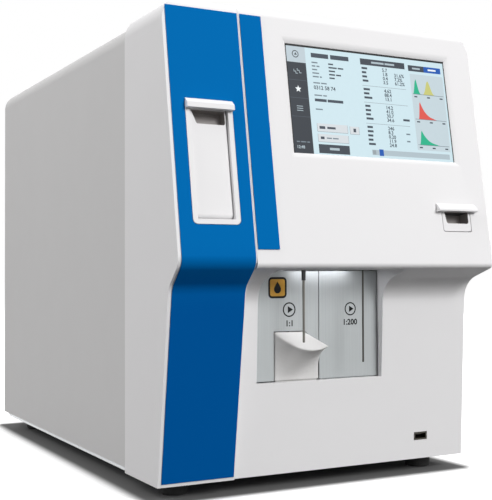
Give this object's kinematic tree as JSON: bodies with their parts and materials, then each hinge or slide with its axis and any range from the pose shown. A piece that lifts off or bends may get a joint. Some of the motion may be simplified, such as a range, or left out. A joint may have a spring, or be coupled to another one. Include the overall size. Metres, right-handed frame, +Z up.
{
  "type": "hematology analyzer",
  "caption": "Benchtop blood cell analyser with a leaning touch screen front, a side tube door, a sample drawer and a lit alcove with two aspiration needles and start plates.",
  "frame": {"origin": "on the floor under the middle of the case", "axes": "+Z up, the front faces -Y, +X to the viewer's right"},
  "size_m": [0.295, 0.49, 0.3836],
  "materials": {
    "white_moulding": "fine satin texture",
    "blue_label": "printed film, semi gloss",
    "grey_cover": "fine powder coat",
    "brushed_plate": "vertical brushing",
    "plated_sheet": "zinc plated sheet",
    "needle_steel": "polished tube",
    "black_plastic": "satin black",
    "black_rubber": "matt",
    "clear_plastic": "machined acrylic",
    "screen_glass": "lit touch screen",
    "lamp_lens": "diffusing lens",
    "green_board": "solder mask"
  },
  "bodies": {
    "case": {"front_bezel": "white_moulding", "front_column": "white_moulding", "column_label": "blue_label", "bezel_label": "blue_label", "main_cover": "grey_cover", "base_pan": "plated_sheet", "rear_panel": "grey_cover", "foot_front_left": "black_rubber", "foot_front_right": "black_rubber", "foot_rear_left": "black_rubber", "foot_rear_right": "black_rubber", "rear_screw_1": "plated_sheet", "rear_screw_2": "plated_sheet", "rear_screw_3": "plated_sheet", "rear_screw_4": "plated_sheet", "piercer_door_frame": "white_moulding", "door_hinge_pin": "plated_sheet", "piercing_unit": "black_plastic", "drawer_guide": "black_plastic", "whole_blood_plate": "brushed_plate", "lever_pin": "plated_sheet", "plate_pin": "plated_sheet", "lever_switch": "black_plastic", "plate_switch": "black_plastic", "lift_frame": "plated_sheet", "whole_blood_lift_motor": "black_plastic", "predilute_lift_motor": "black_plastic", "whole_blood_guide_rod": "plated_sheet", "predilute_guide_rod": "plated_sheet", "whole_blood_rinse_cup": "black_plastic", "predilute_rinse_cup": "black_plastic", "alcove_lamp": "lamp_lens", "touch_glass": "screen_glass", "lcd_panel": "black_plastic", "display_bracket": "plated_sheet", "front_data_socket": "plated_sheet", "chassis_wall": "plated_sheet", "power_supply": "plated_sheet", "main_board": "green_board", "counting_unit": "clear_plastic", "valve_manifold": "clear_plastic", "pump_body": "black_plastic", "fan_frame": "black_plastic", "power_inlet": "black_plastic", "reagent_ports": "clear_plastic"},
    "tube_door": {"piercer_door": "white_moulding", "tube_holder": "clear_plastic"},
    "piercing_head": {"piercing_needle": "needle_steel"},
    "sample_drawer": {"capillary_drawer": "white_moulding"},
    "start_lever_arm": {"start_lever": "white_moulding"},
    "press_plate": {"predilute_plate": "brushed_plate"},
    "whole_blood_lift": {"whole_blood_carriage": "black_plastic", "whole_blood_needle": "needle_steel", "whole_blood_lift_screw": "plated_sheet"},
    "predilute_lift": {"predilute_carriage": "black_plastic", "predilute_needle": "needle_steel", "predilute_lift_screw": "plated_sheet"},
    "pump_wheel": {"pump_rotor": "clear_plastic"},
    "fan_wheel": {"fan_rotor": "black_plastic"},
    "rocker": {"power_switch": "black_plastic"}
  },
  "joints": [
    {"name": "door_tilt", "type": "hinge", "parent": "case", "child": "tube_door", "pos_m": [-0.1138, -0.23359, 0.21747], "axis": [1, 0, 0], "range_deg": [0, 35]},
    {"name": "piercing_stroke", "type": "slide", "parent": "case", "child": "piercing_head", "axis": [0, -0.159, -0.9873], "range_m": [0, 0.04]},
    {"name": "drawer_slide", "type": "slide", "parent": "case", "child": "sample_drawer", "axis": [0, -0.9873, 0.159], "range_m": [0, 0.035]},
    {"name": "lever_press", "type": "hinge", "parent": "case", "child": "start_lever_arm", "pos_m": [0, -0.193, 0.0825], "axis": [-1, 0, 0], "range_deg": [0, 3], "stiffness_Nm_per_rad": 1, "springref_deg": -1.72},
    {"name": "plate_press", "type": "hinge", "parent": "case", "child": "press_plate", "pos_m": [0, -0.193, 0.0825], "axis": [-1, 0, 0], "range_deg": [0, 2.5], "stiffness_Nm_per_rad": 1, "springref_deg": -1.72},
    {"name": "whole_blood_raise", "type": "slide", "parent": "case", "child": "whole_blood_lift", "axis": [0, 0, 1], "range_m": [0, 0.054]},
    {"name": "predilute_raise", "type": "slide", "parent": "case", "child": "predilute_lift", "axis": [0, 0, 1], "range_m": [0, 0.07]},
    {"name": "pump_spin", "type": "hinge", "parent": "case", "child": "pump_wheel", "pos_m": [-0.0203, 0.075, 0.23], "axis": [1, 0, 0], "continuous": true},
    {"name": "fan_spin", "type": "hinge", "parent": "case", "child": "fan_wheel", "pos_m": [0.085, 0.2083, 0.3], "axis": [0, 1, 0], "continuous": true},
    {"name": "rocker_press", "type": "hinge", "parent": "case", "child": "rocker", "pos_m": [0.095, 0.2328, 0.123], "axis": [1, 0, 0], "range_deg": [0, 12]}
  ]
}
